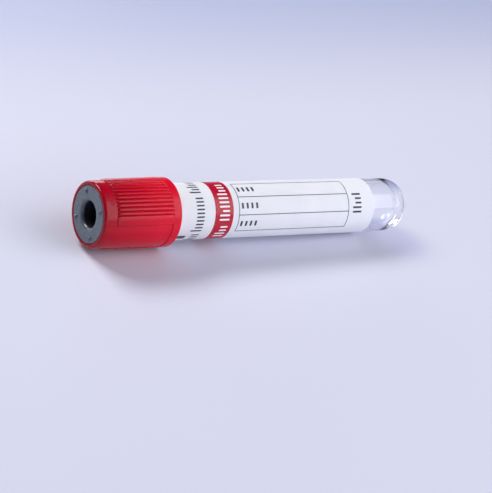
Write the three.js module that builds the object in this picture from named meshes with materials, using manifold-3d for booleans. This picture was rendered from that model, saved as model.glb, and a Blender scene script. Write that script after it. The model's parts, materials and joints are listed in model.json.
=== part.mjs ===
// Evacuated blood collection tube, 12 x 75 mm, nominal 5 ml, lying on its side.
//
// Four pieces share one axis: a clear moulded tube with a round bottom, the label
// glued round it, the grey rubber stopper that plugs its mouth, and the red twist-off
// cap that shields the stopper. Stations are distances along that axis, measured from
// the cap's end face (0) towards the round bottom.
//
// Every piece is made with its axis along +X and the cap's face at x = 0. The whole
// tube is then tipped until the cap's ribs and the round bottom both touch the table,
// and set with the middle of its footprint on the origin. Millimetres, +Z up.

import * as THREE from 'three';
import { mergeVertices } from 'three/addons/utils/BufferGeometryUtils.js';
import Module from 'manifold-3d';

const wasm = await Module();
wasm.setup();

// ---------------------------------------------------------------- driving sizes

// Clear tube
const tubeRadius = 6;          // outside
const tubeWall = 1;
const tubeLength = 75;         // mouth to the end of the gate disc
const bottomThickness = 1.8;   // under the gate disc
const mouthRounding = 0.2;
const gateRadius = 1.5;        // small disc left by the moulding gate
const gateHeight = 0.2;

// Label
const labelThickness = 0.08;
const glueGap = 0.03;
const labelLength = 53;
const labelTuck = 0.9;         // how far it starts inside the cap's skirt
const windowSteps = 9;         // bare strip, in facets of the tube
const windowMiddle = -120;     // degrees from the top, towards the back

// Stopper
const stopperFaceRadius = 6.05;
const faceEdgeRounding = 0.15;
const flangeLength = 5.9;
const seatLength = 0.8;        // stretch that rests on the tube's lip
const seatGap = 0.03;
const plugLength = 7.1;        // inside the tube
const plugGap = 0.05;
const noseLength = 1.6;        // tapered end of the plug
const noseDrop = 0.55;
const wellRadius = 2.7;        // needle well in the outer face
const wellDepth = 5;
const wellLip = 0.85;          // rounding of the well's mouth
const recessRadius = 2.9;      // hollow in the plug's inner end
const recessDepth = 6.3;
const nubCount = 4;            // small domes round the well
const nubRadius = 0.4;
const nubHeight = 0.3;
const nubCircleRadius = 5;
const nubTurn = 54;            // degrees from the top to the first nub

// Cap
const capLength = 18.5;
const capWall = 0.55;          // over the stopper's flange
const capFlare = 0.22;         // growth in radius from the collar to the rim band
const lipLength = 1.3;         // front ring that holds the stopper's flange
const faceGap = 0.12;          // ring to stopper face
const runningGap = 0.08;       // cap to flange, radially and along the axis
const beadGap = 0.15;          // snap bead to tube
const beadUndercut = 0.27;     // how far the flange reaches behind the bead
const beadLength = 0.9;
const beadSlope = 0.25;
const skirtGap = 0.24;         // skirt to label
const skirtChamfer = 0.3;
const frontRounding = 0.5;
const rimRounding = 0.3;
const collarLength = 2.9;      // smooth stretch ahead of the ribs
const rimBandLength = 2;       // smooth raised band behind the ribs
const rimStep = 0.16;          // band above the body
const ribHeightFront = 0.45;
const ribHeightRear = 0.36;
const ribEndRun = 0.4;         // rounded ends of a rib
const gripRibs = 11;           // ribs in each of the two grips
const landTopSteps = 8;        // flat top of the wide bar at each end of a grip
const panelSteps = 40;         // smooth panel between the grips

// Joint of the facets
const roundSegments = 72;      // on every plain round surface
const arcSteps = 10;           // on a quarter circle of the round bottom

// ---------------------------------------------------------------- worked-out sizes

const boreRadius = tubeRadius - tubeWall;
const labelInner = tubeRadius + glueGap;
const labelOuter = labelInner + labelThickness;

const beadRadius = tubeRadius + beadGap;
const flangeRadius = beadRadius + beadUndercut;
const cavityRadius = flangeRadius + runningGap;
const openingRadius = stopperFaceRadius + faceGap;
const skirtRadius = labelOuter + skirtGap;
const collarRadius = cavityRadius + capWall;
const bodyRadiusRear = collarRadius + capFlare;
const bandRadius = bodyRadiusRear + rimStep;
const ribTopRear = bodyRadiusRear + ribHeightRear;

const flangeStart = lipLength + runningGap;
const flangeEnd = flangeStart + flangeLength;
const seatEnd = flangeEnd + seatLength;
const mouth = seatEnd + seatGap;
const plugEnd = seatEnd + plugLength;
const gateBase = mouth + tubeLength - gateHeight;
const bottomCentre = gateBase - Math.sqrt(tubeRadius ** 2 - gateRadius ** 2);
const labelStart = capLength - labelTuck;
const bandStart = capLength - rimBandLength;

const facet = 2 * Math.PI / roundSegments;

// ---------------------------------------------------------------- helpers

const point = (station, radius) => new THREE.Vector2(radius, station);

// Quarter circle from angle a to angle b about (station, radius), both ends included.
function arc(station, radius, r, a, b, steps) {
  return Array.from({ length: steps + 1 }, (_, i) => {
    const angle = THREE.MathUtils.degToRad(a + (b - a) * i / steps);
    return point(station + r * Math.cos(angle), radius + r * Math.sin(angle));
  });
}

// Turns a profile of (radius, station) points about the X axis. The first vertex lies
// at `turn` radians from the top, and angles grow from the top towards the front.
function turned(profile, segments, turn) {
  return new THREE.LatheGeometry(profile, segments, turn).rotateZ(-Math.PI / 2);
}

// Same shape with shared corners merged and the empty triangles at the axis left out.
function welded(geometry) {
  const bare = new THREE.BufferGeometry();
  bare.setAttribute('position', geometry.getAttribute('position'));
  bare.setIndex(geometry.getIndex());
  const merged = mergeVertices(bare, 1e-5);
  const index = merged.getIndex().array;
  const kept = [];
  for (let i = 0; i < index.length; i += 3) {
    const [a, b, c] = [index[i], index[i + 1], index[i + 2]];
    if (a !== b && b !== c && c !== a) kept.push(a, b, c);
  }
  merged.setIndex(kept);
  return merged;
}

function solid(geometry) {
  const { attributes, index } = welded(geometry);
  return new wasm.Manifold(new wasm.Mesh({
    numProp: 3,
    vertProperties: new Float32Array(attributes.position.array),
    triVerts: new Uint32Array(index.array),
  }));
}

function geometryOf(manifold) {
  const mesh = manifold.getMesh();
  const geometry = new THREE.BufferGeometry();
  geometry.setAttribute('position', new THREE.BufferAttribute(mesh.vertProperties, 3));
  geometry.setIndex(new THREE.BufferAttribute(mesh.triVerts, 1));
  geometry.computeVertexNormals();
  return geometry;
}

function piece(name, geometry, material) {
  const mesh = new THREE.Mesh(geometry, new THREE.MeshStandardMaterial(material));
  mesh.name = name;
  return mesh;
}

// ---------------------------------------------------------------- clear tube

// Straight bore and wall, rounded lip, and a round bottom that is thicker at its pole
// because the inner dome is set back from the outer one.
function tubeGeometry() {
  const innerCentre = gateBase - bottomThickness - boreRadius;
  const gateEdge = Math.asin(gateRadius / tubeRadius) * THREE.MathUtils.RAD2DEG;
  const profile = [
    ...arc(innerCentre, 0, boreRadius, 0, 90, arcSteps),
    point(mouth + mouthRounding, boreRadius),
    point(mouth, boreRadius + mouthRounding),
    point(mouth, tubeRadius - mouthRounding),
    point(mouth + mouthRounding, tubeRadius),
    ...arc(bottomCentre, 0, tubeRadius, 90, gateEdge, arcSteps),
    point(gateBase + gateHeight, gateRadius - gateHeight / 2),
    point(gateBase + gateHeight, 0),
  ];
  profile[0].x = 0;
  return welded(turned(profile, roundSegments, facet / 2));
}

// ---------------------------------------------------------------- label

// Thin sleeve with a bare strip, its corners in line with the facets of the tube.
function labelGeometry() {
  const steps = roundSegments - windowSteps;
  const first = THREE.MathUtils.degToRad(windowMiddle) + windowSteps * facet / 2;
  const rim = (radius) => Array.from({ length: steps + 1 }, (_, i) => {
    const angle = first + i * facet;
    return new THREE.Vector2(-radius * Math.sin(angle), radius * Math.cos(angle));
  });
  const outline = new THREE.Shape([...rim(labelOuter), ...rim(labelInner).reverse()]);
  const sleeve = new THREE.ExtrudeGeometry(outline, { depth: labelLength, bevelEnabled: false });
  // The outline's x and y become the part's y and z, and its depth runs along x.
  sleeve.applyMatrix4(new THREE.Matrix4().makeBasis(
    new THREE.Vector3(0, 1, 0), new THREE.Vector3(0, 0, 1), new THREE.Vector3(1, 0, 0)));
  sleeve.translate(labelStart, 0, 0);
  return welded(sleeve);
}

// ---------------------------------------------------------------- stopper

// One turned rubber body: needle well, face with its nubs, flange, seat on the lip, plug
// with a tapered nose, and the recess that leaves a thin middle for the needle to pierce.
function stopperGeometry() {
  const plugRadius = boreRadius - plugGap;
  const profile = [
    point(wellDepth, 0),
    point(wellDepth, wellRadius * 0.6),
    point(wellDepth - wellRadius * 0.4, wellRadius),
    ...arc(wellLip, wellRadius + wellLip, wellLip, 270, 180, 4),
    ...arc(faceEdgeRounding, stopperFaceRadius - faceEdgeRounding, faceEdgeRounding, 180, 90, 2),
    point(flangeStart, stopperFaceRadius),
    point(flangeStart, flangeRadius),
    point(flangeEnd, flangeRadius),
    point(flangeEnd, tubeRadius),
    point(seatEnd, tubeRadius),
    point(seatEnd, plugRadius),
    point(plugEnd - noseLength, plugRadius),
    point(plugEnd, plugRadius - noseDrop),
    point(plugEnd, recessRadius),
    point(plugEnd - recessDepth, recessRadius),
    point(plugEnd - recessDepth, 0),
  ];
  let body = solid(turned(profile, roundSegments, facet / 2));
  for (let i = 0; i < nubCount; i++) {
    const angle = THREE.MathUtils.degToRad(nubTurn) + i * 2 * Math.PI / nubCount;
    const nub = new THREE.SphereGeometry(nubRadius, 16, 12).rotateZ(Math.PI / 2);
    nub.translate(nubRadius - nubHeight,
      -nubCircleRadius * Math.sin(angle), nubCircleRadius * Math.cos(angle));
    body = body.add(solid(nub));
  }
  return geometryOf(body);
}

// ---------------------------------------------------------------- cap

// Steps round the cap: a wide land has a flank, its flat top and a flank, and after it
// come a valley step, then a rib of flank, top and flank, in turn.
const ribSteps = 3;
const valleySteps = 1;
const ribPitchSteps = ribSteps + valleySteps;
const landSteps = landTopSteps + 2;
const gripSteps = 2 * landSteps + gripRibs * ribPitchSteps + valleySteps;
const halfTurnSteps = gripSteps + panelSteps;
const capSegments = 2 * halfTurnSteps;
const capStep = 2 * Math.PI / capSegments;

// The cap is turned so that the valley between two ribs of the lower grip faces down,
// which is two ribs in from the middle of a grip's half.
const lowValleyRibs = gripRibs / 2 - 2;
const capTurn = (lowValleyRibs * ribPitchSteps - gripSteps / 2) * capStep;

// 1 where corner k of the ring stands on a rib or a land, 0 in a valley or on a panel.
function relief(k) {
  const inHalf = k % halfTurnSteps;
  const fromEnd = Math.min(inHalf, gripSteps - inHalf);
  if (fromEnd <= 0) return 0;
  if (fromEnd <= landSteps) return fromEnd < landSteps ? 1 : 0;
  const inPitch = (inHalf - landSteps) % ribPitchSteps;
  return inPitch > valleySteps ? 1 : 0;
}

// Outside of the cap as rings of [station, radius in a valley, radius on a rib].
function capRings() {
  const flareStart = frontRounding;
  const body = (station) => collarRadius
    + capFlare * (station - flareStart) / (bandStart - flareStart);
  const ribFront = collarLength + ribEndRun;
  const ribBack = bandStart - ribEndRun;
  const riser = ribEndRun / 4;
  const shoulder = 1 - Math.SQRT1_2;
  return [
    [0, 0],
    [0, collarRadius - frontRounding],
    [frontRounding * shoulder, collarRadius - frontRounding * shoulder],
    [frontRounding, collarRadius],
    [collarLength, body(collarLength)],
    [collarLength + riser, body(collarLength + riser), body(collarLength) + 0.7 * ribHeightFront],
    [ribFront, body(ribFront), body(ribFront) + ribHeightFront],
    [ribBack, body(ribBack), ribTopRear],
    [bandStart - riser, body(bandStart - riser), (ribTopRear + bandRadius) / 2],
    [bandStart, bandRadius],
    [capLength - rimRounding, bandRadius],
    [capLength - rimRounding * shoulder, bandRadius - rimRounding * shoulder],
    [capLength, bandRadius - rimRounding],
    [capLength, 0],
  ];
}

function capShell() {
  const rings = capRings();
  const profile = rings.map(([station, valley]) => point(station, valley));
  const shell = new THREE.LatheGeometry(profile, capSegments, capTurn);
  const corners = shell.getAttribute('position');
  for (let k = 0; k <= capSegments; k++) {
    rings.forEach(([, valley, top = valley], j) => {
      if (top === valley) return;
      const grow = (valley + relief(k) * (top - valley)) / valley;
      const at = k * rings.length + j;
      corners.setX(at, corners.getX(at) * grow);
      corners.setZ(at, corners.getZ(at) * grow);
    });
  }
  return solid(shell.rotateZ(-Math.PI / 2));
}

// Space inside the cap: opening for the stopper's face, cavity for its flange, snap
// bead behind the flange, and the skirt round the tube and label.
function capBore() {
  const beadStart = flangeEnd + runningGap;
  const beadEnd = beadStart + beadLength;
  const past = 1;
  const profile = [
    point(-past, 0),
    point(-past, openingRadius),
    point(lipLength, openingRadius),
    point(lipLength, cavityRadius),
    point(beadStart, cavityRadius),
    point(beadStart + beadSlope, beadRadius),
    point(beadEnd - beadSlope, beadRadius),
    point(beadEnd, skirtRadius),
    point(capLength - skirtChamfer, skirtRadius),
    point(capLength + past, skirtRadius + skirtChamfer + past),
    point(capLength + past, 0),
  ];
  return solid(turned(profile, roundSegments, facet / 2));
}

function capGeometry() {
  return geometryOf(capShell().subtract(capBore()));
}

// ---------------------------------------------------------------- assembly

const alongAxis = new THREE.Group();
alongAxis.add(
  piece('tube', tubeGeometry(),
    { color: 0xe9eef5, roughness: 0.05, metalness: 0, transparent: true, opacity: 0.35 }),
  piece('label', labelGeometry(), { color: 0xf4f5f8, roughness: 0.45, metalness: 0 }),
  piece('stopper', stopperGeometry(), { color: 0x656d79, roughness: 0.6, metalness: 0 }),
  piece('cap', capGeometry(), { color: 0xc8102e, roughness: 0.35, metalness: 0 }),
);

// Lying down: the supporting ribs' rear ends and the start of the round bottom touch
// the table. Each counts with the height of its lowest corner under the axis.
const ribDrop = ribTopRear * Math.cos(capStep * (valleySteps / 2 + 1));
const bottomDrop = tubeRadius * Math.cos(facet / 2);
const ribStation = bandStart - ribEndRun;
const tilt = Math.atan((ribDrop - bottomDrop) / (bottomCentre - ribStation));
alongAxis.rotation.y = tilt;

const bloodTube = new THREE.Group();
bloodTube.add(alongAxis);
const box = new THREE.Box3().setFromObject(bloodTube, true);
const middle = box.getCenter(new THREE.Vector3());
bloodTube.position.set(-middle.x, -middle.y, -box.min.z);
bloodTube.updateMatrixWorld(true);

export default bloodTube;
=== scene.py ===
"""Evacuated blood collection tube, nominal 5 ml, lying on a pale satin table.

Four pieces share one axis: the clear moulded tube, the printed label glued round it,
the grey rubber stopper and the red twist-off cap. Each is a class that works its shape
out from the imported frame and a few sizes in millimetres.

A place on the part is given by its station along the axis from the cap's face towards
the round bottom, its radius, and its angle from the top towards the front (-Y).
"""

import json
import logging
import math
from dataclasses import dataclass, field
from enum import Enum

import bpy
import numpy as np
from mathutils import Matrix, Vector


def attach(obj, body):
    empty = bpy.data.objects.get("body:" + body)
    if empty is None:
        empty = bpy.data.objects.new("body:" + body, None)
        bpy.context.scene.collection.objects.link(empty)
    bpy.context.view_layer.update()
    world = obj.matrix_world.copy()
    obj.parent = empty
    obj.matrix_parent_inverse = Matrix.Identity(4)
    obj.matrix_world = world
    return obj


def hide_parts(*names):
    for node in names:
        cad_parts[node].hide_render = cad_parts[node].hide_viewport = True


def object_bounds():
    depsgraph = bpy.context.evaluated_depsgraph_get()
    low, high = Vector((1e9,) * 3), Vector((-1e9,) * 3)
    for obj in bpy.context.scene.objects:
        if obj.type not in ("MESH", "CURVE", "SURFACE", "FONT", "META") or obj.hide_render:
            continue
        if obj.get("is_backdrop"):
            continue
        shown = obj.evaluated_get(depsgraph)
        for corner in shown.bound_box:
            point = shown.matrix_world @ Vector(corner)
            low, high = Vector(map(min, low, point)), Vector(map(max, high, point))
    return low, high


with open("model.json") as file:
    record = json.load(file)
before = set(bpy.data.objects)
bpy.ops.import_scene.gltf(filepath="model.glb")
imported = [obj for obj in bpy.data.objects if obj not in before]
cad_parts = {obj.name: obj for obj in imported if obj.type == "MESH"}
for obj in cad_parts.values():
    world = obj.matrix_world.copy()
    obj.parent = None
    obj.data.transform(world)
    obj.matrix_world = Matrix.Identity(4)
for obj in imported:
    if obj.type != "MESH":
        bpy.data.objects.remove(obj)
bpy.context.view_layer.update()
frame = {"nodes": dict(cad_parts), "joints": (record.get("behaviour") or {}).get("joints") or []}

MM = 0.001

Array = np.ndarray
log = logging.getLogger("blood_collection_tube")


class Body(Enum):
    """Bodies that the pieces ride on."""

    TUBE = "tube"
    STOPPER = "stopper"
    CAP = "cap"


class Slot(Enum):
    """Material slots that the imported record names."""

    CLEAR_PLASTIC = "clear_plastic"
    LABEL_FILM = "label_film"
    STOPPER_RUBBER = "stopper_rubber"
    CAP_PLASTIC = "cap_plastic"
    PRINT_DARK = "print_dark"
    PRINT_RED = "print_red"


# ---------------------------------------------------------------- places on the axis


@dataclass(frozen=True)
class Reach:
    """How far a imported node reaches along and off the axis, in millimetres."""

    first: float
    last: float
    inner: float
    outer: float


@dataclass(frozen=True)
class TubeAxis:
    """The common axis of all four pieces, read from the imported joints."""

    start: Array
    along: Array
    up: Array
    front: Array

    @classmethod
    def from_joints(cls, joints: list[dict]) -> "TubeAxis":
        """Takes the axis from the hinge that the cap turns on.

        Args:
            joints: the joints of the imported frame.

        Returns:
            The axis, starting at the middle of the cap's face.
        """
        hinge = next(joint for joint in joints if joint["type"] == "hinge")
        along = -np.array(hinge["axis"], float)
        along /= np.linalg.norm(along)
        front = np.array((0.0, -1.0, 0.0))
        return cls(np.array(hinge["pos_m"], float), along, np.cross(front, along), front)

    def place(self, station: Array, radius: Array, angle: Array) -> Array:
        """Point = start + station x along + radius x (cos angle x up + sin angle x front).

        Args:
            station: millimetres from the cap's face.
            radius: millimetres from the axis.
            angle: degrees from the top towards the front.

        Returns:
            The points in metres, with the arrays' common shape and a last side of 3.
        """
        station, radius, angle = np.broadcast_arrays(station, radius, np.radians(angle))
        off = radius[..., None] * (np.cos(angle)[..., None] * self.up
                                   + np.sin(angle)[..., None] * self.front)
        return self.start + MM * (station[..., None] * self.along + off)

    def on_axis(self, station: float) -> Array:
        """Point on the axis itself, in metres, at a station in millimetres."""
        return self.start + MM * station * self.along

    def measure(self, points: Array) -> tuple[Array, Array]:
        """Station and radius, both in millimetres, of points in metres."""
        away = (points - self.start) / MM
        return away @ self.along, np.hypot(away @ self.up, away @ self.front)

    def reach(self, node: str) -> Reach:
        """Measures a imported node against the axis.

        Args:
            node: the node's name.

        Returns:
            Its first and last station and its smallest and largest radius.
        """
        mesh = frame["nodes"][node].data
        corners = np.empty(len(mesh.vertices) * 3, np.float32)
        mesh.vertices.foreach_get("co", corners)
        station, radius = self.measure(corners.reshape(-1, 3))
        return Reach(station.min(), station.max(), radius.min(), radius.max())


# ---------------------------------------------------------------- profiles

ARC_POINTS = 6
SMALL_ROUNDING = 0.11   # millimetres, up to which a corner takes fewer points
SMALL_ARC_POINTS = 3
EDGE = 0.08    # millimetres, the rounding of an edge that the mould leaves nearly sharp
GUARD = 0.05   # rows this close to a rounded corner keep the flat beside it flat


@dataclass(frozen=True)
class Corner:
    """A corner of a profile: its station, radius and rounding, in millimetres."""

    station: float
    radius: float
    rounding: float = 0.0

    @property
    def point(self) -> Array:
        """Station and radius as an array."""
        return np.array((self.station, self.radius), float)


def arc(station: float, radius: float, reach: float, start: float, end: float,
        points: int) -> Array:
    """Circle about (station, radius): centre + reach x (cos, sin) of an even angle.

    Args:
        station: station of the centre.
        radius: radius of the centre.
        reach: the circle's own radius.
        start: first angle in degrees, 0 along the axis and 90 away from it.
        end: last angle in degrees.
        points: how many points, both ends included.

    Returns:
        The points as rows of station and radius.
    """
    angle = np.radians(np.linspace(start, end, points))
    return np.column_stack((station + reach * np.cos(angle), radius + reach * np.sin(angle)))


def rounded_corner(before: Array, corner: Corner, after: Array) -> Array:
    """Arc that touches both sides of a corner.

    With half the corner's angle h and rounding f, the arc touches each side f / tan h
    from the corner, and its centre is f / sin h along the bisector. Its points turn
    evenly about the centre from one touching point to the other.

    Args:
        before: the point that the profile comes from.
        corner: the corner itself.
        after: the point that the profile goes to.

    Returns:
        The arc's points, or the bare corner where it has no rounding.
    """
    if corner.rounding <= 0:
        return corner.point[None]
    to_before = (before - corner.point) / np.linalg.norm(before - corner.point)
    to_after = (after - corner.point) / np.linalg.norm(after - corner.point)
    half = math.acos(np.clip(to_before @ to_after, -1, 1)) / 2
    bisector = (to_before + to_after) / np.linalg.norm(to_before + to_after)
    centre = corner.point + bisector * corner.rounding / math.sin(half)
    spoke_in = corner.point + to_before * corner.rounding / math.tan(half) - centre
    spoke_out = corner.point + to_after * corner.rounding / math.tan(half) - centre
    sweep = math.pi - 2 * half
    points = ARC_POINTS if corner.rounding > SMALL_ROUNDING else SMALL_ARC_POINTS
    share = np.linspace(0, 1, points)[:, None]
    return centre + (np.sin((1 - share) * sweep) * spoke_in
                     + np.sin(share * sweep) * spoke_out) / math.sin(sweep)


def straight_run(start: Array, end: Array, spacing: float) -> Array:
    """Points between two ends: one guard row near each, and even steps between those.

    Args:
        start: where the run starts.
        end: where it ends.
        spacing: the longest step in millimetres.

    Returns:
        The points strictly between the ends.
    """
    length = float(np.linalg.norm(end - start))
    if length < 3 * GUARD:
        return np.empty((0, 2))
    steps = max(1, math.ceil((length - 2 * GUARD) / spacing))
    share = np.linspace(GUARD / length, 1 - GUARD / length, steps + 1)[:, None]
    return start + share * (end - start)


def profile(corners: list[Corner], closed: bool, spacing: float) -> Array:
    """Walks from corner to corner in straight runs and rounds each corner.

    Args:
        corners: the corners in order.
        closed: whether the last corner leads back to the first.
        spacing: the longest step on a straight run, in millimetres.

    Returns:
        The profile as rows of station and radius.
    """
    count = len(corners)
    arcs = []
    for index, corner in enumerate(corners):
        at_end = not closed and index in (0, count - 1)
        before = corners[index - 1].point
        after = corners[(index + 1) % count].point
        arcs.append(corner.point[None] if at_end else rounded_corner(before, corner, after))
    rows = []
    for index, bend in enumerate(arcs):
        rows.append(bend)
        if closed or index < count - 1:
            rows.append(straight_run(bend[-1], arcs[(index + 1) % count][0], spacing))
    return np.concatenate(rows)


# ---------------------------------------------------------------- closed surfaces


@dataclass
class Shell:
    """Corners and faces of a closed surface."""

    points: Array
    faces: list[Array]

    def with_faces_out(self) -> "Shell":
        """Turns the faces round if the volume they enclose comes out negative.

        Volume = sum over the faces' triangles of a . (b x c) / 6.
        """
        middle = self.points.mean(axis=0)
        volume = 0.0
        for face in self.faces:
            corners = self.points[face] - middle
            for side in range(1, face.shape[1] - 1):
                cross = np.cross(corners[:, side], corners[:, side + 1])
                volume += float(np.einsum("ij,ij->", corners[:, 0], cross)) / 6
        if volume < 0:
            self.faces = [face[:, ::-1] for face in self.faces]
        return self

    @staticmethod
    def joined(shells: list["Shell"]) -> "Shell":
        """Puts several closed surfaces into one mesh.

        Args:
            shells: the surfaces, each with its faces out.

        Returns:
            One shell that holds them all.
        """
        counts = np.cumsum([0] + [len(shell.points) for shell in shells[:-1]])
        faces = [face + first for shell, first in zip(shells, counts) for face in shell.faces]
        return Shell(np.concatenate([shell.points for shell in shells]), faces)


def grid_faces(rows: int, columns: int, rows_close: bool, columns_close: bool) -> Array:
    """Four-sided faces between neighbours on a grid that is numbered row by row.

    Args:
        rows: number of rows.
        columns: corners in a row.
        rows_close: whether the last row joins the first.
        columns_close: whether the last column joins the first.

    Returns:
        One face a line, as four corner numbers.
    """
    row, column = np.meshgrid(np.arange(rows - (not rows_close)),
                              np.arange(columns - (not columns_close)), indexing="ij")
    next_row, next_column = (row + 1) % rows, (column + 1) % columns
    face = (row * columns + column, next_row * columns + column,
            next_row * columns + next_column, row * columns + next_column)
    return np.stack(face, axis=-1).reshape(-1, 4)


def turned_ring(points: Array) -> Shell:
    """Surface of a closed profile carried round the axis, from a grid of its points.

    Args:
        points: profile rows by angle columns by 3.

    Returns:
        The closed shell, a ring with a hole along its middle.
    """
    rows, columns = points.shape[:2]
    return Shell(points.reshape(-1, 3), [grid_faces(rows, columns, True, True)]).with_faces_out()


def turned_solid(points: Array, first_pole: Array, last_pole: Array) -> Shell:
    """Surface of an open profile carried round the axis and closed at its two poles.

    Args:
        points: profile rows by angle columns by 3, without the poles.
        first_pole: the point on the axis before the first row.
        last_pole: the point on the axis after the last row.

    Returns:
        The closed shell.
    """
    rows, columns = points.shape[:2]
    column = np.arange(columns)
    after = (column + 1) % columns
    first, last = rows * columns, rows * columns + 1
    last_row = (rows - 1) * columns
    first_fan = np.column_stack((np.full(columns, first), column, after))
    last_fan = np.column_stack((np.full(columns, last), last_row + after, last_row + column))
    corners = np.vstack((points.reshape(-1, 3), first_pole[None], last_pole[None]))
    return Shell(corners, [grid_faces(rows, columns, False, True), first_fan,
                           last_fan]).with_faces_out()


def bent_slab(top: Array, under: Array) -> Shell:
    """Closed slab between two grids of points that lie over each other.

    Args:
        top: rows by columns by 3.
        under: the same grid on the other side.

    Returns:
        The shell: both grids and a strip round their common edge.
    """
    rows, columns = top.shape[:2]
    count = rows * columns
    number = np.arange(count).reshape(rows, columns)
    edge = np.concatenate((number[0, :-1], number[:-1, -1], number[-1, :0:-1], number[:0:-1, 0]))
    after = np.roll(edge, -1)
    faces = grid_faces(rows, columns, False, False)
    strip = np.column_stack((edge, after, after + count, edge + count))
    points = np.concatenate((top.reshape(-1, 3), under.reshape(-1, 3)))
    return Shell(points, [faces, faces[:, ::-1] + count, strip]).with_faces_out()


# ---------------------------------------------------------------- finishes


def linear(hex_colour: str) -> tuple[float, float, float, float]:
    """Turns an sRGB colour such as "#C8102E" into linear red, green, blue and alpha.

    Args:
        hex_colour: a hash and six hexadecimal digits.

    Returns:
        Each channel c as c / 12.92 up to 0.04045 and ((c + 0.055) / 1.055) ^ 2.4 above.
    """
    channels = [int(hex_colour[at:at + 2], 16) / 255 for at in (1, 3, 5)]
    red, green, blue = (c / 12.92 if c <= 0.04045 else ((c + 0.055) / 1.055) ** 2.4
                        for c in channels)
    return red, green, blue, 1.0


def add_node(tree: bpy.types.NodeTree, kind: str, settings: dict | None = None,
             links: dict | None = None) -> bpy.types.Node:
    """Adds a node with its settings and links.

    Args:
        tree: the tree that gets the node.
        kind: Blender's name for the node.
        settings: values by the name or number of an input, or by the name of a property.
        links: outputs by the name or number of the input that they go to.

    Returns:
        The new node.
    """
    node = tree.nodes.new(kind)
    for key, value in (settings or {}).items():
        if isinstance(key, int) or key in node.inputs:
            node.inputs[key].default_value = value
        else:
            setattr(node, key, value)
    for key, output in (links or {}).items():
        tree.links.new(output, node.inputs[key])
    return node


def empty_material(name: str) -> tuple[bpy.types.Material, bpy.types.NodeTree]:
    """Makes a material with nothing in its tree.

    Args:
        name: the material's name.

    Returns:
        The material and its node tree.
    """
    material = bpy.data.materials.new(name)
    material.use_nodes = True
    material.node_tree.nodes.clear()
    return material, material.node_tree


def mottled_colour(tree: bpy.types.NodeTree, pattern: bpy.types.NodeSocket, low: str,
                   high: str) -> bpy.types.NodeSocket:
    """Colour that goes from low to high as a pattern goes through its middle.

    Args:
        tree: the tree that gets the nodes.
        pattern: a noise output from 0 to 1.
        low: sRGB colour where the pattern is low.
        high: sRGB colour where it is high.

    Returns:
        The colour output.
    """
    share = add_node(tree, "ShaderNodeMapRange", {"From Min": 0.35, "From Max": 0.65},
                     {"Value": pattern})
    mix = add_node(tree, "ShaderNodeMix", {"data_type": "RGBA", 6: linear(low), 7: linear(high)},
                   {0: share.outputs["Result"]})
    return mix.outputs[2]


def noise(tree: bpy.types.NodeTree, size_mm: float, detail: float,
          stretch: tuple[float, float, float] = (1, 1, 1)) -> bpy.types.NodeSocket:
    """Noise on Object coordinates.

    Args:
        tree: the tree that gets the nodes.
        size_mm: width of the largest features.
        detail: octaves of finer features on top.
        stretch: factors on the coordinates, below 1 to draw the pattern out.

    Returns:
        The noise value, about 0 to 1.
    """
    coordinates = add_node(tree, "ShaderNodeTexCoord")
    mapping = add_node(tree, "ShaderNodeMapping", {"Scale": stretch},
                       {"Vector": coordinates.outputs["Object"]})
    pattern = add_node(tree, "ShaderNodeTexNoise",
                       {"Scale": 1 / (size_mm * MM), "Detail": detail},
                       {"Vector": mapping.outputs["Vector"]})
    return pattern.outputs["Fac"]


@dataclass(frozen=True)
class Grain:
    """Fine unevenness of a surface: its width, its height and the roughness it makes."""

    size_mm: float
    height_mm: float
    roughness: tuple[float, float]

    def outputs(self, tree: bpy.types.NodeTree, detail: float = 2.0,
                stretch: tuple[float, float, float] = (1, 1, 1),
                ) -> dict[str, bpy.types.NodeSocket]:
        """Roughness and relief that follow one noise pattern.

        Roughness goes evenly from its first value to its second as the pattern goes
        through its middle, and the pattern itself stands up as relief.

        Args:
            tree: the tree that gets the nodes.
            detail: octaves of finer features on top.
            stretch: factors on the coordinates, below 1 to draw the pattern out.

        Returns:
            The outputs, by the names of the shader's inputs.
        """
        pattern = noise(tree, self.size_mm, detail, stretch)
        low, high = self.roughness
        roughness = add_node(
            tree, "ShaderNodeMapRange",
            {"From Min": 0.3, "From Max": 0.7, "To Min": low, "To Max": high},
            {"Value": pattern})
        relief = add_node(
            tree, "ShaderNodeBump", {"Strength": 1.0, "Distance": self.height_mm * MM},
            {"Height": pattern})
        return {"Roughness": roughness.outputs["Result"], "Normal": relief.outputs["Normal"]}


@dataclass(frozen=True)
class ClearPet:
    """Clear PET, injection moulded against polished steel.

    Its refraction draws dark and bright lines along the wall and round the bottom, and
    the moulding leaves a slight unevenness that bends the reflections a little.
    """

    name: str = "clear_pet_moulded"
    colour: str = "#FBFCFF"
    shadow: str = "#E9EAF4"
    ior: float = 1.42
    flow: Grain = Grain(6.0, 0.004, (0.0, 0.025))

    def material(self) -> bpy.types.Material:
        """Clear shell that lets the lamps' light through to what is behind it."""
        material, tree = empty_material(self.name)
        plastic = add_node(
            tree, "ShaderNodeBsdfPrincipled",
            {"Base Color": linear(self.colour), "IOR": self.ior, "Transmission Weight": 1.0},
            self.flow.outputs(tree, 1.0, (0.4, 1, 1)))
        passing = add_node(tree, "ShaderNodeBsdfTransparent", {"Color": linear(self.shadow)})
        ray = add_node(tree, "ShaderNodeLightPath")
        mix = add_node(tree, "ShaderNodeMixShader", None,
                       {0: ray.outputs["Is Shadow Ray"], 1: plastic.outputs[0],
                        2: passing.outputs[0]})
        add_node(tree, "ShaderNodeOutputMaterial", None, {"Surface": mix.outputs[0]})
        return material


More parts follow.
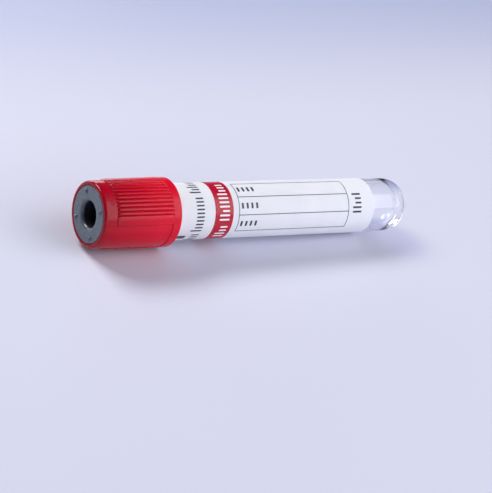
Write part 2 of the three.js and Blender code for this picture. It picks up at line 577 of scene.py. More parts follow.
@dataclass(frozen=True)
class OpaqueFinish:
    """A surface with two patterns: broad mottling of its colour and a fine grain."""

    name: str
    low: str
    high: str
    mottle_mm: float
    grain: Grain
    specular: float = 0.5
    subsurface: float = 0.0
    scatter_mm: tuple[float, float, float] = (0.3, 0.3, 0.3)

    def material(self) -> bpy.types.Material:
        """Colour and roughness follow the mottling, and the grain stands up as relief."""
        material, tree = empty_material(self.name)
        mottle = noise(tree, self.mottle_mm, 3.0)
        shader = add_node(
            tree, "ShaderNodeBsdfPrincipled",
            {"Specular IOR Level": self.specular, "Subsurface Weight": self.subsurface,
             "Subsurface Radius": self.scatter_mm, "Subsurface Scale": MM},
            {"Base Color": mottled_colour(tree, mottle, self.low, self.high),
             **self.grain.outputs(tree)})
        add_node(tree, "ShaderNodeOutputMaterial", None, {"Surface": shader.outputs[0]})
        return material


# White polypropylene film with a satin varnish: nearly even, with broad soft waves
# where it lies over its glue.
LABEL_FILM = OpaqueFinish(
    "white_label_film", "#ECEEF5", "#F2F3F9", 7.0, Grain(3.0, 0.006, (0.36, 0.48)),
    subsurface=0.6)

# Flexographic inks under the same varnish. A printed area is a little uneven, because
# the ink film breaks up into fine grains.
RED_INK = OpaqueFinish(
    "red_printing_ink", "#B20A2A", "#BE1232", 0.6, Grain(0.3, 0.002, (0.2, 0.3)), specular=0.35)
DARK_INK = OpaqueFinish(
    "dark_grey_printing_ink", "#2B2D38", "#383A46", 0.4, Grain(0.3, 0.002, (0.34, 0.46)))
WHITE_INK = OpaqueFinish(
    "white_printing_ink", "#EFEFF6", "#F6F5FA", 0.6, Grain(0.3, 0.002, (0.34, 0.46)))


# Point attribute that carries the painted shade in the needle well.
WELL_SHADE_ATTRIBUTE = "well_depth"   # point attribute of the stopper: 0 on the face, 1 deep in the well


@dataclass(frozen=True)
class ButylRubber:
    """Grey chlorobutyl rubber, compression moulded and siliconised.

    Its filler mottles it finely, and the silicone film gives it a soft sheen outside. Its colour
    is darkened with the depth in the needle well, as painted shade.
    """

    name: str = "grey_butyl_rubber"
    low: str = "#5A646F"
    high: str = "#656F7A"
    # Painted shade: the colour the rubber is given deep in the needle well.
    well: str = "#262B34"
    mottle_mm: float = 0.9
    grain: Grain = Grain(0.2, 0.003, (0.2, 0.32))

    def material(self) -> bpy.types.Material:
        """Mottled grey with painted shade that darkens it with the depth in the well."""
        material, tree = empty_material(self.name)
        mottle = noise(tree, self.mottle_mm, 3.0)
        depth = add_node(tree, "ShaderNodeAttribute", {"attribute_name": WELL_SHADE_ATTRIBUTE})
        colour = add_node(tree, "ShaderNodeMix", {"data_type": "RGBA", 7: linear(self.well)},
                          {0: depth.outputs["Fac"],
                           6: mottled_colour(tree, mottle, self.low, self.high)})
        shader = add_node(tree, "ShaderNodeBsdfPrincipled", None,
                          {"Base Color": colour.outputs[2], **self.grain.outputs(tree)})
        add_node(tree, "ShaderNodeOutputMaterial", None, {"Surface": shader.outputs[0]})
        return material


@dataclass(frozen=True)
class CapPolypropylene:
    """Red polypropylene, injection moulded in a finely eroded mould.

    It is a little translucent. Its red is painted deep at the front, as painted shade, and
    brighter towards the rim, as painted light. A fine unevenness of the surface softens
    its highlights.
    """

    name: str = "red_polypropylene_moulded"
    # Painted shade at the front and painted light towards the rim, in the cap's red.
    front: str = "#92041A"
    rim: str = "#D80A2C"
    # Where along the part's X the painted shade and the painted light are full.
    painted_shade_x_mm: float = -41.0
    painted_light_x_mm: float = -25.0
    grain: Grain = Grain(0.35, 0.002, (0.15, 0.24))
    mottle_mm: float = 3.0
    mottle_shift_mm: float = 5.0
    specular: float = 0.22
    subsurface: float = 0.15
    scatter_mm: tuple[float, float, float] = (0.9, 0.12, 0.1)

    def material(self) -> bpy.types.Material:
        """Painted shade and light: colour goes from deep at the front to bright at the rim,
        shifted a little by the mottling.
        """
        material, tree = empty_material(self.name)
        coordinates = add_node(tree, "ShaderNodeTexCoord")
        split = add_node(tree, "ShaderNodeSeparateXYZ", None,
                         {0: coordinates.outputs["Object"]})
        mottle = noise(tree, self.mottle_mm, 3.0, (0.35, 1, 1))
        place = add_node(tree, "ShaderNodeMath",
                         {"operation": "MULTIPLY_ADD", 1: self.mottle_shift_mm * MM},
                         {0: mottle, 2: split.outputs["X"]})
        share = add_node(tree, "ShaderNodeMapRange",
                         {"From Min": self.painted_shade_x_mm * MM, "From Max": self.painted_light_x_mm * MM},
                         {"Value": place.outputs["Value"]})
        colour = add_node(tree, "ShaderNodeMix",
                          {"data_type": "RGBA", 6: linear(self.front), 7: linear(self.rim)},
                          {0: share.outputs["Result"]})
        shader = add_node(
            tree, "ShaderNodeBsdfPrincipled",
            {"Specular IOR Level": self.specular, "Subsurface Weight": self.subsurface,
             "Subsurface Radius": self.scatter_mm, "Subsurface Scale": MM},
            {"Base Color": colour.outputs[2], **self.grain.outputs(tree)})
        add_node(tree, "ShaderNodeOutputMaterial", None, {"Surface": shader.outputs[0]})
        return material


@dataclass(frozen=True)
class AcrylicTable:
    """Pale acrylic sheet with an etched, satin face, which mirrors the part very softly."""

    name: str = "pale_satin_acrylic_sheet"
    # Painted shade: the table is painted darker and bluer from near the part to its far side.
    near: str = "#D4D5E5"
    far: str = "#B1B8D4"
    painted_shade_start_mm: float = 45.0
    painted_shade_full_mm: float = 130.0
    roughness: float = 0.4
    specular: float = 0.15

    def material(self) -> bpy.types.Material:
        """Painted shade: colour darkens evenly from near the part to the far side of the table,
        where the lamps' light falls off.
        """
        material, tree = empty_material(self.name)
        coordinates = add_node(tree, "ShaderNodeTexCoord")
        split = add_node(tree, "ShaderNodeSeparateXYZ", None,
                         {0: coordinates.outputs["Object"]})
        share = add_node(tree, "ShaderNodeMapRange",
                         {"From Min": self.painted_shade_start_mm * MM, "From Max": self.painted_shade_full_mm * MM,
                          "interpolation_type": "SMOOTHSTEP"},
                         {"Value": split.outputs["Y"]})
        colour = add_node(tree, "ShaderNodeMix",
                          {"data_type": "RGBA", 6: linear(self.near), 7: linear(self.far)},
                          {0: share.outputs["Result"]})
        shader = add_node(
            tree, "ShaderNodeBsdfPrincipled",
            {"Roughness": self.roughness, "Specular IOR Level": self.specular},
            {"Base Color": colour.outputs[2]})
        add_node(tree, "ShaderNodeOutputMaterial", None, {"Surface": shader.outputs[0]})
        return material


# ---------------------------------------------------------------- making a piece

CREASE = math.radians(40)   # edges that turn more than this are shaded as creases


def mesh_object(shell: Shell, name: str, material: bpy.types.Material) -> bpy.types.Object:
    """Puts a shell into a smooth-shaded mesh object at the origin.

    Args:
        shell: the surface, in metres in the frame's own axes.
        name: the object's name.
        material: its material.

    Returns:
        The object.
    """
    mesh = bpy.data.meshes.new(name)
    faces = [face for group in shell.faces for face in group.tolist()]
    mesh.from_pydata(shell.points.tolist(), [], faces)
    mesh.materials.append(material)
    mesh.shade_smooth()
    mesh.set_sharp_from_angle(angle=CREASE)
    made = bpy.data.objects.new(name, mesh)
    bpy.context.scene.collection.objects.link(made)
    return made


def add_piece(shell: Shell, name: str, material: bpy.types.Material, body: Body,
              stands_for: tuple[str, ...] = ()) -> bpy.types.Object:
    """Makes a piece of the part and ties it to the frame.

    Args:
        shell: its surface.
        name: its name.
        material: its material.
        body: the body that it moves with.
        stands_for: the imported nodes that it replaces.

    Returns:
        The piece.
    """
    made = mesh_object(shell, name, material)
    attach(made, body.value)
    if stands_for:
        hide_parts(*stands_for)
    triangles = sum(len(face) * (face.shape[1] - 2) for face in shell.faces)
    log.info("%s: %d triangles, rides on %s", name, triangles, body.value)
    return made


# ---------------------------------------------------------------- clear tube


@dataclass
class ClearTube:
    """Injection-moulded tube with a round bottom and the disc left by the gate."""

    axis: TubeAxis
    wall: float = 1.0
    bottom_thickness: float = 1.8
    mouth_rounding: float = 0.2
    gate_radius: float = 1.5
    gate_height: float = 0.2
    columns: int = 288
    dome_points: int = 48

    def outline(self) -> Array:
        """Profile from the middle of the inner dome, over the mouth, to the gate disc.

        The outer dome is a quarter circle that the gate disc cuts, and the inner one is
        set back from the disc by the bottom's thickness.
        """
        reach = self.axis.reach("tube")
        outer = reach.outer
        bore = outer - self.wall
        gate = reach.last - self.gate_height
        outer_centre = gate - math.sqrt(outer ** 2 - self.gate_radius ** 2)
        inner_centre = gate - self.bottom_thickness - bore
        gate_edge = math.degrees(math.asin(self.gate_radius / outer))
        inner_dome = arc(inner_centre, 0, bore, 0, 90, self.dome_points)[1:]
        outer_dome = arc(outer_centre, 0, outer, 90, gate_edge, self.dome_points)
        lip = profile([Corner(*inner_dome[-1]),
                       Corner(reach.first, bore, self.mouth_rounding),
                       Corner(reach.first, outer, self.mouth_rounding),
                       Corner(*outer_dome[0])], False, 3.0)
        disc = profile([Corner(*outer_dome[-1]),
                        Corner(reach.last, self.gate_radius - self.gate_height / 2, EDGE),
                        Corner(reach.last, 0.1)], False, 0.3)
        return np.concatenate((inner_dome[:-1], lip, outer_dome[1:-1], disc))

    def build(self) -> Shell:
        """Turns the outline about the axis: every row is a circle of its own radius."""
        outline = self.outline()
        angle = np.linspace(0, 360, self.columns, endpoint=False)
        points = self.axis.place(outline[:, :1], outline[:, 1:], angle[None])
        last = self.axis.reach("tube").last
        inside = last - self.gate_height - self.bottom_thickness
        return turned_solid(points, self.axis.on_axis(inside), self.axis.on_axis(last))

    def dress(self) -> bpy.types.Object:
        """Builds the tube in clear PET.

        Light that bounces off the table or the label passes the clear plastic straight,
        which keeps burnt-in caustics off the table.
        """
        made = add_piece(self.build(), "clear_tube", ClearPet().material(), Body.TUBE,
                         ("tube",))
        made.visible_diffuse = False
        return made


# ---------------------------------------------------------------- label


@dataclass(frozen=True)
class BarRow:
    """A row of bars that runs round the tube and stands where a label carries its print.

    "I" is a tall bar and "i" a short one, and spaces part the groups. The row reads from
    large angles to small ones. Its bars' feet stand at the baseline, and their widths and
    gaps are counted in units of so many degrees. It repeats after some degrees, or not
    at all where that is 0. Layer 1 lies on the film and layer 2 on other ink.
    """

    pattern: str
    baseline: float
    tall: float
    short: float
    start: float
    unit: float
    repeat: float = 0.0
    layer: int = 1


BAR_WIDTH = 0.45   # in units of its row
BAR_GAP = 0.6
WORD_GAP = 0.9

NAME_ROW = BarRow("Iiiiiiiiii IiIiii", baseline=25.0, tall=2.8, short=1.95, start=102.5,
                  unit=7.3, repeat=134.0)
BAND_ROW = BarRow("IIii IIiIIIIiii", baseline=31.4, tall=2.5, short=1.8, start=122.0,
                  unit=8.4, repeat=150.0, layer=2)
VOLUME_ROW = BarRow("IIiiI", baseline=67.1, tall=2.4, short=1.7, start=73.0, unit=9.0)


def bar_spans(pattern: str) -> list[tuple[float, float, bool]]:
    """Lays out a row of bars.

    Args:
        pattern: "I" for a tall bar, "i" for a short one, and spaces between groups.

    Returns:
        Start and end of each bar in units from the row's start, and whether it is tall.
    """
    spans = []
    at = 0.0
    for name in pattern:
        if name == " ":
            at += WORD_GAP
            continue
        spans.append((at, at + BAR_WIDTH, name == "I"))
        at += BAR_WIDTH + BAR_GAP
    return spans


@dataclass
class Label:
    """Film glued round the tube, with a red band, a form and rows of plain bars."""

    axis: TubeAxis
    window_middle: float = -120.0
    window_width: float = 45.0
    band_start: float = 27.7
    band_end: float = 32.35
    form_start: float = 33.9
    form_end: float = 63.5
    form_angle: float = -5.7
    form_row_angle: float = 37.33
    form_rows: int = 3
    line_width: float = 0.16
    word_height: float = 1.25
    word_inset: float = 0.65
    word_unit: float = 0.95
    mark_stations: tuple[float, float] = (19.7, 21.8)
    mark_angles: tuple[float, float] = (115.0, 127.0)
    mark_corner: float = 0.1
    band_margin: float = 0.5
    bar_margin: float = 3.0
    ink_height: float = 0.012
    ink_sink: float = 0.6
    corner: float = 0.12
    columns: int = 316
    columns_per_radian: int = 60
    plate_columns: int = 9
    reach: Reach = field(init=False)

    def __post_init__(self) -> None:
        """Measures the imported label."""
        self.reach = self.axis.reach("label")

    @property
    def first_angle(self) -> float:
        """Angle of the edge above the bare strip."""
        return self.window_middle + self.window_width / 2

    @property
    def last_angle(self) -> float:
        """Angle of the edge below the bare strip."""
        return self.window_middle - self.window_width / 2 + 360

    def sleeve(self) -> Shell:
        """Slab of film between two radii, over all angles but the bare strip's."""
        station = np.linspace(self.reach.first, self.reach.last, 28)[:, None]
        angle = np.linspace(self.first_angle, self.last_angle, self.columns)[None]
        return bent_slab(self.axis.place(station, self.reach.outer, angle),
                         self.axis.place(station, self.reach.inner, angle))

    def plate(self, stations: tuple[float, float], angles: tuple[float, float],
              corner: float = 0.0, layer: int = 1) -> Shell:
        """Thin plate of ink on the film, with rounded corners.

        A square grid is stretched over the plate. A point beyond a corner's centre on
        both sides is pulled in to the corner's circle, and the same pull, in proportion,
        acts on the squares inside the outline.

        Args:
            stations: first and last station in millimetres.
            angles: first and last angle in degrees.
            corner: radius of the corners in millimetres.
            layer: 1 on the film, 2 on other ink.

        Returns:
            The closed plate, sunk a little into what it lies on.
        """
        film = self.reach.outer
        half_length = abs(stations[1] - stations[0]) / 2
        half_width = math.radians(abs(angles[1] - angles[0])) * film / 2
        rows, columns = self.plate_columns, self.plate_columns
        if not corner:
            rows = 2
            columns = max(2, math.ceil(2 * half_width / film * self.columns_per_radian) + 1)
        v, u = np.meshgrid(np.linspace(-1, 1, rows), np.linspace(-1, 1, columns), indexing="ij")
        ring = np.maximum(np.maximum(abs(u), abs(v)), 1e-9)
        x, y = v / ring * half_length, u / ring * half_width
        beyond_x = np.maximum(abs(x) - half_length + corner, 0)
        beyond_y = np.maximum(abs(y) - half_width + corner, 0)
        away = np.hypot(beyond_x, beyond_y)
        pull = np.where((beyond_x > 0) & (beyond_y > 0) & (away > 0),
                        corner / np.maximum(away, 1e-9), 1.0)
        x = np.sign(x) * (np.minimum(abs(x), half_length - corner) + beyond_x * pull) * ring
        y = np.sign(y) * (np.minimum(abs(y), half_width - corner) + beyond_y * pull) * ring
        station = sum(stations) / 2 + x
        angle = sum(angles) / 2 + np.degrees(y / film)
        top = film + layer * self.ink_height
        under = film + (layer - 1 - self.ink_sink) * self.ink_height
        return bent_slab(self.axis.place(station, top, angle),
                         self.axis.place(station, under, angle))

    def bars(self, row: BarRow) -> list[Shell]:
        """Bars of a row, those of all its repeats that fit on the film.

        Args:
            row: what the bars are and where.

        Returns:
            One closed plate for each bar.
        """
        plates = []
        for turn in range(-3, 4) if row.repeat else (0,):
            start = row.start + turn * row.repeat
            for begin, end, is_tall in bar_spans(row.pattern):
                high, low = start - begin * row.unit, start - end * row.unit
                if (low < self.first_angle + self.bar_margin
                        or high > self.last_angle - self.bar_margin):
                    continue
                head = row.baseline - (row.tall if is_tall else row.short)
                plates.append(self.plate((head, row.baseline), (low, high), self.corner,
                                         row.layer))
        return plates

    def form_words(self) -> list[Shell]:
        """One short group of bars at the start of each row of the form."""
        unit = self.word_height * self.word_unit
        height = math.degrees(self.word_height / self.reach.outer)
        start = self.form_start + self.word_inset
        bars = []
        for row in range(self.form_rows):
            middle = self.form_angle + (row + 0.5) * self.form_row_angle
            for begin, end, _ in bar_spans("IIII"):
                bars.append(self.plate((start + begin * unit, start + end * unit),
                                       (middle - height / 2, middle + height / 2),
                                       self.corner))
        return bars

    def form_lines(self) -> list[Shell]:
        """Thin lines between the form's rows and across its two ends."""
        half = self.line_width / 2
        half_angle = math.degrees(half / self.reach.outer)
        bottom = self.form_angle + self.form_rows * self.form_row_angle
        lines = []
        for row in range(self.form_rows + 1):
            middle = self.form_angle + row * self.form_row_angle
            lines.append(self.plate((self.form_start - half, self.form_end + half),
                                    (middle - half_angle, middle + half_angle)))
        for station in (self.form_start, self.form_end):
            lines.append(self.plate((station - half, station + half),
                                    (self.form_angle + half_angle, bottom - half_angle)))
        return lines

    def dark_print(self) -> list[Shell]:
        """Bold row by the cap, the form's words, the volume mark and the position mark."""
        mark = self.plate(self.mark_stations, self.mark_angles, self.mark_corner)
        return self.bars(NAME_ROW) + self.form_words() + self.bars(VOLUME_ROW) + [mark]

    def dress(self) -> list[bpy.types.Object]:
        """Builds the film, the red band on it, and the print on both."""
        band = self.plate((self.band_start, self.band_end),
                          (self.first_angle + self.band_margin,
                           self.last_angle - self.band_margin))
        dark = DARK_INK.material()
        return [
            add_piece(self.sleeve(), "label_film", LABEL_FILM.material(), Body.TUBE,
                      ("label",)),
            add_piece(band, "label_red_band", RED_INK.material(), Body.TUBE),
            add_piece(Shell.joined(self.bars(BAND_ROW)), "label_band_bars",
                      WHITE_INK.material(), Body.TUBE),
            add_piece(Shell.joined(self.form_lines()), "label_form_lines", dark, Body.TUBE),
            add_piece(Shell.joined(self.dark_print()), "label_dark_bars", dark, Body.TUBE)]


# ---------------------------------------------------------------- stopper


@dataclass
class Stopper:
    """Moulded rubber body with a needle well, a flange, a seat, a plug and a recess."""

    axis: TubeAxis
    well_radius: float = 2.7
    well_depth: float = 5.0
    well_floor_rounding: float = 1.05
    well_lip: float = 0.85
    # Depth over which the painted shade comes in down the needle well.
    well_shade_depth: float = 0.8
    face_radius: float = 6.05
    face_edge: float = 0.15
    flange_start: float = 1.38
    flange_length: float = 5.9
    seat_radius: float = 6.0
    seat_length: float = 0.8
    plug_radius: float = 4.95
    nose_length: float = 1.6
    nose_drop: float = 0.55
    recess_radius: float = 2.9
    recess_depth: float = 6.3
    nub_count: int = 4
    nub_radius: float = 0.45
    nub_height: float = 0.42
    nub_circle: float = 5.0
    nub_turn: float = 54.0
    nub_margin: float = 0.1
    nub_rows: int = 29
    pole_ring: float = 0.2
    columns: int = 480

    def outline(self) -> Array:
        """Profile from the well's floor, over face, flange and plug, to the recess."""
        reach = self.axis.reach("stopper")
        flange_end = self.flange_start + self.flange_length
        seat_end = flange_end + self.seat_length
        last = reach.last
        inside = self.nub_circle - self.nub_radius - self.nub_margin
        outside = self.nub_circle + self.nub_radius + self.nub_margin
        well = profile([Corner(self.well_depth, self.pole_ring),
                        Corner(self.well_depth, self.well_radius, self.well_floor_rounding),
                        Corner(0, self.well_radius, self.well_lip),
                        Corner(0, inside)], False, 0.4)
        nubs = np.column_stack((np.zeros(self.nub_rows),
                                np.linspace(inside, outside, self.nub_rows)))
        rest = profile([Corner(0, outside),
                        Corner(0, self.face_radius, self.face_edge),
                        Corner(self.flange_start, self.face_radius, EDGE),
                        Corner(self.flange_start, reach.outer, 0.15),
                        Corner(flange_end, reach.outer, 0.15),
                        Corner(flange_end, self.seat_radius, EDGE),
                        Corner(seat_end, self.seat_radius, 0.1),
                        Corner(seat_end, self.plug_radius, EDGE),
                        Corner(last - self.nose_length, self.plug_radius, 0.4),
                        Corner(last, self.plug_radius - self.nose_drop, 0.2),
                        Corner(last, self.recess_radius, 0.2),
                        Corner(last - self.recess_depth, self.recess_radius, 0.5),
                        Corner(last - self.recess_depth, self.pole_ring)], False, 1.2)
        return np.concatenate((well, nubs[1:-1], rest))

    def nubs(self, station: Array, radius: Array, angle: Array) -> Array:
        """Height of the small domes above the face.

        At a distance d from its middle a dome stands its height times the square root of
        1 - (d / radius) ^ 3, so that its top is flatter than a ball's and its side steep.
        The angle is folded into one nub's share of the turn, so all nubs come at once.

        Args:
            station: stations of the points.
            radius: radii of the points.
            angle: angles of the points in degrees.

        Returns:
            The height, to take off the station.
        """
        share = 360 / self.nub_count
        folded = np.radians((angle - self.nub_turn + share / 2) % share - share / 2)
        squared = (radius ** 2 + self.nub_circle ** 2
                   - 2 * radius * self.nub_circle * np.cos(folded))
        cubed = (np.maximum(squared, 0) / self.nub_radius ** 2) ** 1.5
        height = self.nub_height * np.sqrt(np.clip(1 - cubed, 0, None))
        on_face = np.abs(station) < GUARD / 10
        return np.where(on_face, height, 0)

    def build(self) -> Shell:
        """Turns the outline about the axis and raises the nubs on its face."""
        outline = self.outline()
        angle = np.linspace(0, 360, self.columns, endpoint=False)[None]
        station, radius, angle = np.broadcast_arrays(outline[:, :1], outline[:, 1:], angle)
        points = self.axis.place(station - self.nubs(station, radius, angle), radius, angle)
        recess_floor = self.axis.reach("stopper").last - self.recess_depth
        return turned_solid(points, self.axis.on_axis(self.well_depth),
                            self.axis.on_axis(recess_floor))

    def painted_well_shade(self, points: Array) -> Array:
        """Share of painted shade: smoothstep of a point's station over the shaded depth, inside
        the well only.
        """
        station, radius = self.axis.measure(points)
        share = np.clip(station / self.well_shade_depth, 0, 1)
        in_well = (radius < self.well_radius + self.well_lip) & (station < self.well_depth + 0.1)
        return np.where(in_well, share ** 2 * (3 - 2 * share), 0)

    def dress(self) -> bpy.types.Object:
        """Builds the stopper in grey rubber and notes the painted shade by depth in its well."""
        shell = self.build()
        made = add_piece(shell, "rubber_stopper", ButylRubber().material(),
                         Body.STOPPER, ("stopper",))
        depth = made.data.attributes.new(WELL_SHADE_ATTRIBUTE, "FLOAT", "POINT")
        depth.data.foreach_set("value", self.painted_well_shade(shell.points).astype(np.float32))
        return made


# ---------------------------------------------------------------- cap


@dataclass
class Cap:
    """Moulded shield over the stopper, with two ribbed grips and a smooth rim band."""

    axis: TubeAxis
    opening_radius: float = 6.17
    lip_length: float = 1.3
    cavity_radius: float = 6.5
    bead_start: float = 7.36
    bead_length: float = 0.9
    bead_slope: float = 0.25
    skirt_radius: float = 6.35
    skirt_chamfer: float = 0.3
    collar_radius: float = 7.05
    flare: float = 0.22
    front_rounding: float = 0.5
    rim_rounding: float = 0.3
    collar_length: float = 2.9
    band_length: float = 2.0
    band_step: float = 0.16
    rib_front: float = 0.45
    rib_end_run: float = 0.45
    rib_front_run: float = 0.75
    grip_ribs: int = 11
    land_steps: int = 10
    panel_steps: int = 40
    rib_pitch_steps: int = 4
    low_valley_ribs: float = 3.5
    rib_foot: float = 0.2
    rib_shoulder: float = 0.75
    rib_crown: float = 0.3
    land_height: float = 0.6
    land_rise_steps: float = 1.6
    land_fall_steps: float = 1.4
    columns_per_step: int = 4
    ring_mark_station: float = 2.0
    ring_mark_angle: float = 40.3
    ring_mark_radius: float = 0.33
    ring_mark_height: float = 0.07
    ring_mark_width: float = 0.07
    reach: Reach = field(init=False)

    def __post_init__(self) -> None:
        """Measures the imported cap."""
        self.reach = self.axis.reach("cap")

    @property
    def band_start(self) -> float:
        """Station where the ribs run into the rim band."""
        return self.reach.last - self.band_length

    @property
    def band_radius(self) -> float:
        """Radius of the rim band."""
        return self.collar_radius + self.flare + self.band_step

    @property
    def grip_steps(self) -> int:
        """Steps round the cap that one grip takes: two lands, the ribs and a valley."""
        return 2 * self.land_steps + self.grip_ribs * self.rib_pitch_steps + 1

    @property
    def half_turn_steps(self) -> int:
        """Steps in half a turn, a grip and a smooth panel."""
        return self.grip_steps + self.panel_steps

    def body_radius(self, station: Array) -> Array:
        """Radius of the plain body: a cone from the collar to the rim band."""
        share = (station - self.front_rounding) / (self.band_start - self.front_rounding)
        return self.collar_radius + self.flare * share

    def outline(self) -> Array:
        """Closed profile of the plain cap: outside, rim, inside and front opening."""
        last = self.reach.last
        rib_start = self.collar_length - 0.1
        rib_end = self.band_start - self.rib_end_run - 0.1
        mark = (self.ring_mark_station - 0.5, self.ring_mark_station + 0.5)

        def run(start: float, end: float, spacing: float) -> Array:
            """Rows along the body from one station to another."""
            rows = np.linspace(start, end, max(2, round((end - start) / spacing) + 1))
            return np.column_stack((rows, self.body_radius(rows)))

        front = rounded_corner(np.array((0, self.opening_radius)),
                               Corner(0, self.collar_radius, self.front_rounding),
                               np.array((mark[0], self.collar_radius)))
        body = np.concatenate((
            run(self.front_rounding + 0.15, mark[0] - 0.1, 0.4), run(*mark, 0.085),
            run(mark[1] + 0.1, rib_start, 0.2)[:-1], run(rib_start, rib_start + 0.95, 0.08),
            run(rib_start + 1.2, rib_end - 0.2, 1.6), run(rib_end, self.band_start - 0.06, 0.09)))
        step = profile([
            Corner(*body[-1]),
            Corner(self.band_start - 0.03, float(self.body_radius(self.band_start)), 0.02),
            Corner(self.band_start, self.band_radius, 0.05),
            Corner(last, self.band_radius, self.rim_rounding),
            Corner(last, self.skirt_radius + self.skirt_chamfer, EDGE),
            Corner(last - self.skirt_chamfer, self.skirt_radius, EDGE),
            Corner(self.bead_start + self.bead_length, self.skirt_radius, EDGE),
            Corner(self.bead_start + self.bead_length - self.bead_slope, self.reach.inner, EDGE),
            Corner(self.bead_start + self.bead_slope, self.reach.inner, EDGE),
            Corner(self.bead_start, self.cavity_radius, EDGE),
            Corner(self.lip_length, self.cavity_radius, EDGE),
            Corner(self.lip_length, self.opening_radius, EDGE),
            Corner(0, self.opening_radius, EDGE),
            Corner(*front[0])], False, 3.0)
        return np.concatenate((front, body, step[1:-1]))

    def relief(self) -> Array:
        """Height round the cap, 0 in a groove or on a panel and 1 on top of a rib.

        With the place in steps from the start of a grip, a wave of |sin| of the place
        sets the ribs: they rise with a smoothstep between its values at foot and shoulder,
        and crown a little more up to their middle. A land rises from the panel with a
        smoothstep, runs level, and falls off as a quarter circle into the first groove.
        """
        columns = 2 * self.half_turn_steps * self.columns_per_step
        place = np.arange(columns) / self.columns_per_step % self.half_turn_steps
        from_end = np.minimum(place, self.grip_steps - place)
        groove = self.land_steps + 0.5
        wave = np.abs(np.sin((place - groove) / self.rib_pitch_steps * math.pi))
        side = np.clip((wave - self.rib_foot) / (self.rib_shoulder - self.rib_foot), 0, 1)
        ribs = (1 - self.rib_crown) * side ** 2 * (3 - 2 * side) + self.rib_crown * wave
        rise = np.clip(from_end / self.land_rise_steps, 0, 1)
        fall = np.clip((from_end - groove) / self.land_fall_steps + 1, 0, 1)
        land = self.land_height * rise ** 2 * (3 - 2 * rise) * np.sqrt(1 - fall ** 2)
        return np.where(from_end > groove, ribs, land)

    def rib_top(self, station: Array) -> Array:
        """Radius along the top of a rib, which starts and ends in a quarter ellipse."""
        back_start = self.band_start - self.rib_end_run
        front_top = self.body_radius(self.collar_length) + self.rib_front
        share = (station - self.collar_length) / (back_start - self.collar_length)
        top = front_top + (self.reach.outer - front_top) * share
        to_front = np.clip((self.collar_length + self.rib_front_run - station)
                           / self.rib_front_run, 0, 1)
        to_back = np.clip((station - back_start) / self.rib_end_run, 0, 1)
        body = self.body_radius(station)
        top = body + (top - body) * np.sqrt(1 - to_front ** 2)
        fall = 1 - np.sqrt(1 - to_back ** 2)
        top = top - (self.reach.outer - self.band_radius) * fall
        on_rib = (station >= self.collar_length) & (station <= self.band_start)
        return np.where(on_rib, top, 0)

    def ring_mark(self, station: Array, angle: Array) -> Array:
        """Height of the small moulded ring: a ridge at its radius from its middle."""
        across = np.radians(angle - self.ring_mark_angle) * self.collar_radius
        away = np.hypot(station - self.ring_mark_station, across) - self.ring_mark_radius
        return self.ring_mark_height * np.exp(-(away / self.ring_mark_width) ** 2)

    def build(self) -> Shell:
        """Turns the outline about the axis and raises ribs and mark on its outside."""
        outline = self.outline()
        relief = self.relief()
        turn_step = 180 / self.half_turn_steps
        turn = (self.low_valley_ribs * self.rib_pitch_steps - self.grip_steps / 2) * turn_step
        angle = turn + np.arange(len(relief)) * turn_step / self.columns_per_step
        angle = (angle + 180) % 360 - 180
        station, radius, angle = np.broadcast_arrays(outline[:, :1], outline[:, 1:], angle[None])
        raised = np.maximum(self.rib_top(station) - radius, 0) * relief[None]
        outside = radius > self.collar_radius - 0.01
        lift = np.where(outside, raised + self.ring_mark(station, angle), 0)
        return turned_ring(self.axis.place(station, radius + lift, angle))

    def dress(self) -> bpy.types.Object:
        """Builds the cap in red polypropylene."""
        return add_piece(self.build(), "red_cap", CapPolypropylene().material(), Body.CAP,
                         ("cap",))


# ---------------------------------------------------------------- table, light, camera


def unit_from(azimuth: float, elevation: float) -> Vector:
    """Direction from the part: azimuth from +Y towards +X and elevation, in degrees."""
    a, e = math.radians(azimuth), math.radians(elevation)
    return Vector((math.sin(a) * math.cos(e), math.cos(a) * math.cos(e), math.sin(e)))


@dataclass(frozen=True)
class Lamp:
    """Rectangular lamp that faces the part.

    Azimuth and elevation say where it hangs, and its size is its level side and its rising
    side. Its level is the share of full light that it gives on its own, where 1 makes a
    surface that faces it look as its colour is written.
    """

    name: str
    azimuth: float
    elevation: float
    distance_mm: float
    size_mm: tuple[float, float]
    level: float
    colour: str = "#FFFFFF"

    def hang(self) -> bpy.types.Object:
        """Adds the lamp with power = level x (pi x distance) ^ 2."""
        light = bpy.data.lights.new(self.name, "AREA")
        light.shape = "RECTANGLE"
        light.size, light.size_y = (side * MM for side in self.size_mm)
        light.energy = self.level * (math.pi * self.distance_mm * MM) ** 2
        light.color = linear(self.colour)[:3]
        made = bpy.data.objects.new(self.name, light)
        towards = unit_from(self.azimuth, self.elevation)
        made.location = towards * self.distance_mm * MM
        made.rotation_euler = towards.to_track_quat("Z", "Y").to_euler()
        bpy.context.scene.collection.objects.link(made)
        return made


# Two lamps behind the part draw the bright edges of cap, ribs and needle well, and two in
# front of it light the label evenly.
LAMPS = (
    Lamp("key", -28.0, 44.0, 800.0, (520.0, 240.0), 0.9),
    Lamp("low_back", 4.0, 9.0, 700.0, (640.0, 150.0), 0.24),
    Lamp("soft_front", 136.4, 35.7, 450.0, (400.0, 400.0), 0.53, "#FAFAFF"),
    Lamp("low_front", 190.0, 8.0, 500.0, (400.0, 200.0), 0.16, "#F4F4FF"))


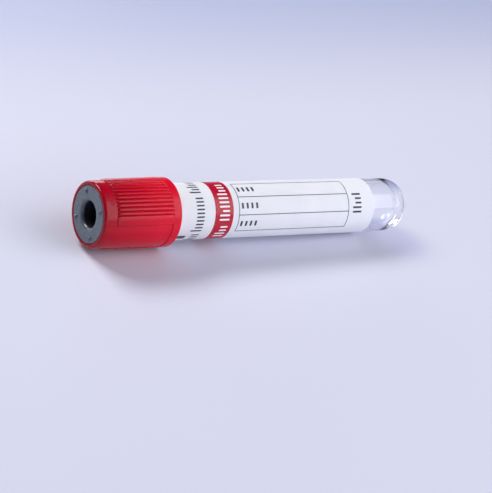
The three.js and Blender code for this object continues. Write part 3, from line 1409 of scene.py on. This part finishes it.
@dataclass
class Studio:
    """Table, lamps, surrounding light and camera."""

    axis: TubeAxis
    table_radius_mm: float = 4000.0
    table_thickness_mm: float = 3.0
    lens_mm: float = 143.84
    camera_azimuth: float = 39.690
    camera_elevation: float = 28.509
    camera_roll: float = 17.278
    camera_distance_mm: float = 412.631
    aim_from_face_mm: tuple[float, float, float] = (30.055, -15.574, -0.049)
    wall_azimuth: float = 132.0
    wall_elevation: float = 12.0
    wall_full_to: float = 40.0
    wall_fades_at: float = 72.0
    wall_colour: str = "#F2F3FB"
    room_colour: str = "#3A3C4A"
    screen_colour: str = "#D8DAE9"

    def table(self) -> bpy.types.Object:
        """Round sheet at the part's lowest point: a disc of rings that widen outwards."""
        low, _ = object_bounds()
        share = np.linspace(0.02, 1, 40)[:, None] ** 2
        angle = np.linspace(0, 2 * math.pi, 96, endpoint=False)[None]
        radius = share * self.table_radius_mm * MM
        ring = np.stack(np.broadcast_arrays(radius * np.cos(angle), radius * np.sin(angle),
                                            np.float64(low.z)), axis=-1)
        top = np.array((0, 0, low.z))
        down = np.array((0, 0, -self.table_thickness_mm * MM))
        points = np.concatenate((ring, (ring + down)[::-1]))
        shell = turned_solid(points, top, top + down)
        made = mesh_object(shell, "table", AcrylicTable().material())
        made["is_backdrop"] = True
        return made

    def surroundings(self) -> None:
        """Dim room with a pale wall of cloth in front and to the right of the part.

        The wall fades out with the cosine of the angle from its middle. Rays that leave
        the clear plastic meet an even pale tone, as they do among white screens.
        """
        world = bpy.data.worlds.new("studio")
        bpy.context.scene.world = world
        world.use_nodes = True
        tree = world.node_tree
        tree.nodes.clear()
        coordinates = add_node(tree, "ShaderNodeTexCoord")
        towards = unit_from(self.wall_azimuth, self.wall_elevation)
        cosine = add_node(tree, "ShaderNodeVectorMath", {"operation": "DOT_PRODUCT", 1: towards},
                          {0: coordinates.outputs["Generated"]})
        share = add_node(tree, "ShaderNodeMapRange",
                         {"From Min": math.cos(math.radians(self.wall_fades_at)),
                          "From Max": math.cos(math.radians(self.wall_full_to)),
                          "interpolation_type": "SMOOTHSTEP"},
                         {"Value": cosine.outputs["Value"]})
        colour = add_node(tree, "ShaderNodeMix",
                          {"data_type": "RGBA", 6: linear(self.room_colour),
                           7: linear(self.wall_colour)},
                          {0: share.outputs["Result"]})
        ray = add_node(tree, "ShaderNodeLightPath")
        seen = add_node(tree, "ShaderNodeMix",
                        {"data_type": "RGBA", 7: linear(self.screen_colour)},
                        {0: ray.outputs["Is Transmission Ray"], 6: colour.outputs[2]})
        sky = add_node(tree, "ShaderNodeBackground", {"Strength": 1.0},
                       {"Color": seen.outputs[2]})
        add_node(tree, "ShaderNodeOutputWorld", None, {"Surface": sky.outputs[0]})

    def camera(self) -> bpy.types.Object:
        """Camera that aims at the middle of the view from its distance, with its roll."""
        lens = bpy.data.cameras.new("camera")
        lens.lens = self.lens_mm
        made = bpy.data.objects.new("camera", lens)
        bpy.context.scene.collection.objects.link(made)
        look = unit_from(self.camera_azimuth, -self.camera_elevation)
        level = look.to_track_quat("-Z", "Y").to_matrix().to_4x4()
        roll = Matrix.Rotation(math.radians(self.camera_roll), 4, "Z")
        aim = Vector(self.axis.start) + Vector(self.aim_from_face_mm) * MM
        place = aim - look * self.camera_distance_mm * MM
        made.matrix_world = Matrix.Translation(place) @ level @ roll
        bpy.context.scene.camera = made
        return made

    def set_up(self) -> None:
        """Sets the stage round the finished part."""
        self.camera()
        self.table()
        self.surroundings()
        for lamp in LAMPS:
            lamp.hang()
        bpy.context.scene.view_settings.view_transform = "Standard"


# ---------------------------------------------------------------- main


def main() -> None:
    """Builds the part from the inside out and sets the stage."""
    logging.basicConfig(level=logging.INFO, format="%(message)s")
    axis = TubeAxis.from_joints(frame["joints"])
    for part in (ClearTube(axis), Stopper(axis), Cap(axis), Label(axis)):
        part.dress()
    Studio(axis).set_up()


if __name__ == "__main__":
    main()
